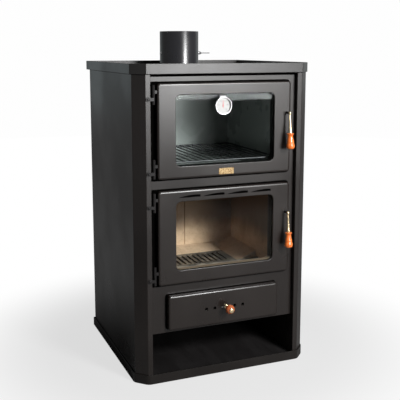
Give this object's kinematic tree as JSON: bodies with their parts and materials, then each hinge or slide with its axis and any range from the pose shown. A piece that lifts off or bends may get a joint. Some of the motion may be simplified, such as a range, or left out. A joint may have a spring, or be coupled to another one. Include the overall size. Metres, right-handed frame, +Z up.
{
  "type": "wood_cookstove",
  "caption": "Free-standing wood cookstove with a glazed oven above a glazed firebox, an ash drawer, an open log niche and a flue collar with a damper on the rimmed cooktop.",
  "frame": {"origin": "centre of the base tray's underside, on the floor", "axes": "+Z up, -Y the front with the doors, +X to the right as seen from the front"},
  "size_m": [0.571, 0.5911, 1.0404],
  "materials": {
    "base_tray": "satin black stove paint",
    "niche_floor": "satin black stove paint",
    "niche_liner": "satin black stove paint",
    "side_panel_right": "satin anthracite stove paint",
    "side_panel_left": "satin anthracite stove paint",
    "back_panel": "satin anthracite stove paint",
    "front_plate": "satin anthracite stove paint",
    "rim_frame": "satin anthracite stove paint",
    "cooktop": "seasoned, matt",
    "flue_collar": "heat-blackened sheet",
    "oven_box": "heat-blackened sheet",
    "oven_rack": "brushed",
    "smoke_jacket": "heat-blackened sheet",
    "firebox_shell": "heat-blackened sheet",
    "firebox_throat": "seasoned, matt",
    "firebrick_side_right": "fired clay, used",
    "firebrick_side_left": "fired clay, used",
    "firebrick_back_right": "fired clay, used",
    "firebrick_back_left": "fired clay, used",
    "firebrick_floor_right": "fired clay, used",
    "firebrick_floor_left": "fired clay, used",
    "firebrick_floor_rear": "fired clay, used",
    "grate": "seasoned, matt",
    "log_guard": "seasoned, matt",
    "ash_chamber": "heat-blackened sheet",
    "oven_frame_hinge_upper": "satin black stove paint",
    "oven_frame_hinge_lower": "satin black stove paint",
    "fire_frame_hinge_upper": "satin black stove paint",
    "fire_frame_hinge_lower": "satin black stove paint",
    "oven_door_skin": "satin anthracite stove paint",
    "oven_door_glass": "clear heat-resistant glass",
    "oven_door_inner_frame": "satin black stove paint",
    "oven_door_seal": "woven glass-fibre rope",
    "oven_door_hinge_upper": "satin black stove paint",
    "oven_door_hinge_lower": "satin black stove paint",
    "nameplate": "polished",
    "thermometer_case": "brushed",
    "thermometer_dial": "white enamel with numerals",
    "thermometer_lens": "clear heat-resistant glass",
    "fire_door_skin": "satin anthracite stove paint",
    "fire_door_glass": "clear heat-resistant glass",
    "fire_door_inner_frame": "satin black stove paint",
    "fire_door_seal": "woven glass-fibre rope",
    "fire_door_hinge_upper": "satin black stove paint",
    "fire_door_hinge_lower": "satin black stove paint",
    "oven_handle_stem": "polished",
    "oven_handle_grip": "orange-red lacquered wood",
    "oven_latch_tongue": "brushed",
    "fire_handle_stem": "polished",
    "fire_handle_grip": "orange-red lacquered wood",
    "fire_latch_tongue": "brushed",
    "ash_drawer_pan": "heat-blackened sheet",
    "ash_drawer_front": "satin anthracite stove paint",
    "air_slide": "brushed",
    "air_knob_ferrule": "polished",
    "air_knob_ball": "red-brown lacquered wood",
    "air_knob_cap": "polished",
    "damper_axle": "brushed",
    "damper_disc": "seasoned, matt",
    "thermometer_pointer": "red"
  },
  "bodies": {
    "stove_body": {"base_tray": "base_tray", "niche_floor": "niche_floor", "niche_liner": "niche_liner", "side_panel_right": "side_panel_right", "side_panel_left": "side_panel_left", "back_panel": "back_panel", "front_plate": "front_plate", "rim_frame": "rim_frame", "cooktop": "cooktop", "flue_collar": "flue_collar", "oven_box": "oven_box", "oven_rack": "oven_rack", "smoke_jacket": "smoke_jacket", "firebox_shell": "firebox_shell", "firebox_throat": "firebox_throat", "firebrick_side_right": "firebrick_side_right", "firebrick_side_left": "firebrick_side_left", "firebrick_back_right": "firebrick_back_right", "firebrick_back_left": "firebrick_back_left", "firebrick_floor_right": "firebrick_floor_right", "firebrick_floor_left": "firebrick_floor_left", "firebrick_floor_rear": "firebrick_floor_rear", "grate": "grate", "log_guard": "log_guard", "ash_chamber": "ash_chamber", "oven_frame_hinge_upper": "oven_frame_hinge_upper", "oven_frame_hinge_lower": "oven_frame_hinge_lower", "fire_frame_hinge_upper": "fire_frame_hinge_upper", "fire_frame_hinge_lower": "fire_frame_hinge_lower"},
    "oven_door": {"oven_door_skin": "oven_door_skin", "oven_door_glass": "oven_door_glass", "oven_door_inner_frame": "oven_door_inner_frame", "oven_door_seal": "oven_door_seal", "oven_door_hinge_upper": "oven_door_hinge_upper", "oven_door_hinge_lower": "oven_door_hinge_lower", "nameplate": "nameplate", "thermometer_case": "thermometer_case", "thermometer_dial": "thermometer_dial", "thermometer_lens": "thermometer_lens"},
    "fire_door": {"fire_door_skin": "fire_door_skin", "fire_door_glass": "fire_door_glass", "fire_door_inner_frame": "fire_door_inner_frame", "fire_door_seal": "fire_door_seal", "fire_door_hinge_upper": "fire_door_hinge_upper", "fire_door_hinge_lower": "fire_door_hinge_lower"},
    "oven_handle": {"oven_handle_stem": "oven_handle_stem", "oven_handle_grip": "oven_handle_grip", "oven_latch_tongue": "oven_latch_tongue"},
    "fire_handle": {"fire_handle_stem": "fire_handle_stem", "fire_handle_grip": "fire_handle_grip", "fire_latch_tongue": "fire_latch_tongue"},
    "ash_drawer": {"ash_drawer_pan": "ash_drawer_pan", "ash_drawer_front": "ash_drawer_front"},
    "air_control": {"air_slide": "air_slide", "air_knob_ferrule": "air_knob_ferrule", "air_knob_ball": "air_knob_ball", "air_knob_cap": "air_knob_cap"},
    "damper": {"damper_axle": "damper_axle", "damper_disc": "damper_disc"},
    "gauge_pointer": {"thermometer_pointer": "thermometer_pointer"}
  },
  "joints": [
    {"name": "oven_door_hinge", "type": "hinge", "parent": "stove_body", "child": "oven_door", "pos_m": [-0.2245, -0.25825, 0.749], "axis": [0, 0, -1], "range_deg": [0, 105]},
    {"name": "fire_door_hinge", "type": "hinge", "parent": "stove_body", "child": "fire_door", "pos_m": [-0.2245, -0.25825, 0.436], "axis": [0, 0, -1], "range_deg": [0, 105]},
    {"name": "oven_handle_turn", "type": "hinge", "parent": "oven_door", "child": "oven_handle", "pos_m": [0.199, -0.26, 0.792], "axis": [0, 1, 0], "range_deg": [0, 90]},
    {"name": "fire_handle_turn", "type": "hinge", "parent": "fire_door", "child": "fire_handle", "pos_m": [0.199, -0.26, 0.486], "axis": [0, 1, 0], "range_deg": [0, 90]},
    {"name": "ash_drawer_slide", "type": "slide", "parent": "stove_body", "child": "ash_drawer", "axis": [0, -1, 0], "range_m": [0, 0.3]},
    {"name": "air_control_slide", "type": "slide", "parent": "ash_drawer", "child": "air_control", "axis": [-1, 0, 0], "range_m": [0, 0.013]},
    {"name": "damper_turn", "type": "hinge", "parent": "stove_body", "child": "damper", "pos_m": [0, 0.13625, 0.9684], "axis": [1, 0, 0], "range_deg": [0, 90]},
    {"name": "gauge_pointer_turn", "type": "hinge", "parent": "oven_door", "child": "gauge_pointer", "pos_m": [-0.017, -0.27, 0.82], "axis": [0, 1, 0], "range_deg": [-135, 135]}
  ]
}
